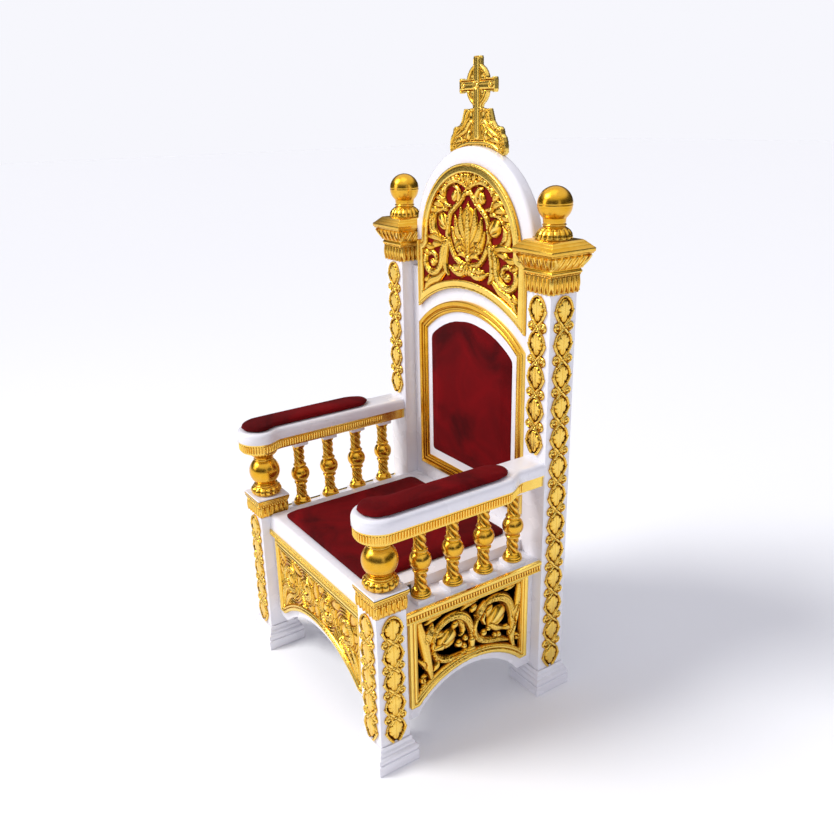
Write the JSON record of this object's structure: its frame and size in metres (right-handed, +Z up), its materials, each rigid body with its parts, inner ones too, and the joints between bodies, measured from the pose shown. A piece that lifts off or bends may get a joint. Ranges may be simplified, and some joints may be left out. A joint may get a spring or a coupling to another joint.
{
  "type": "church altar chair",
  "caption": "High-backed ceremonial armchair: white square posts, gilt balusters and carved openwork panels, arched head with a cross, velvet-padded arms, seat and back.",
  "frame": {"origin": "on the floor, below the middle of the chair's bounding box", "axes": "+Z up; the chair faces -Y, so the back is towards +Y; +X is on the right of someone who looks at the chair's front"},
  "size_m": [0.8402, 0.7032, 1.8057],
  "materials": {
    "white_lacquer": "smooth glossy white lacquer on wood",
    "gold_leaf": "burnished gold leaf on carved and turned wood",
    "crimson_velvet": "short-pile crimson velvet over a firm pad",
    "red_backing": "flat red cloth glued behind the openwork"
  },
  "bodies": {
    "root": {"arm_pad_left": "crimson_velvet", "arm_pad_right": "crimson_velvet", "arm_rail_left": "white_lacquer", "arm_rail_right": "white_lacquer", "arm_trim_left": "gold_leaf", "arm_trim_right": "gold_leaf", "back_board": "white_lacquer", "back_frame": "gold_leaf", "back_pad": "crimson_velvet", "ball_baluster_left": "gold_leaf", "ball_baluster_right": "gold_leaf", "capital_front_left": "gold_leaf", "capital_front_right": "gold_leaf", "capital_rear_left": "gold_leaf", "capital_rear_right": "gold_leaf", "crest_cross": "gold_leaf", "finial_left": "gold_leaf", "finial_right": "gold_leaf", "front_board": "white_lacquer", "front_carving": "gold_leaf", "front_trim": "gold_leaf", "plinth_front_left": "white_lacquer", "plinth_front_right": "white_lacquer", "plinth_rear_left": "white_lacquer", "plinth_rear_right": "white_lacquer", "post_front_left": "white_lacquer", "post_front_right": "white_lacquer", "post_rear_left": "white_lacquer", "post_rear_right": "white_lacquer", "rear_board": "white_lacquer", "seat_deck": "white_lacquer", "seat_pad": "crimson_velvet", "side_board_left": "white_lacquer", "side_board_right": "white_lacquer", "side_carving_left": "gold_leaf", "side_carving_right": "gold_leaf", "side_rail_left": "white_lacquer", "side_rail_right": "white_lacquer", "side_trim_left": "gold_leaf", "side_trim_right": "gold_leaf", "strip_front_face_left": "gold_leaf", "strip_front_face_right": "gold_leaf", "strip_front_side_left": "gold_leaf", "strip_front_side_right": "gold_leaf", "strip_rear_face_left": "gold_leaf", "strip_rear_face_right": "gold_leaf", "strip_rear_side_left": "gold_leaf", "strip_rear_side_right": "gold_leaf", "twist_baluster_left_1": "gold_leaf", "twist_baluster_left_2": "gold_leaf", "twist_baluster_left_3": "gold_leaf", "twist_baluster_left_4": "gold_leaf", "twist_baluster_right_1": "gold_leaf", "twist_baluster_right_2": "gold_leaf", "twist_baluster_right_3": "gold_leaf", "twist_baluster_right_4": "gold_leaf", "tympanum_backing": "red_backing", "tympanum_carving": "gold_leaf"}
  },
  "joints": []
}
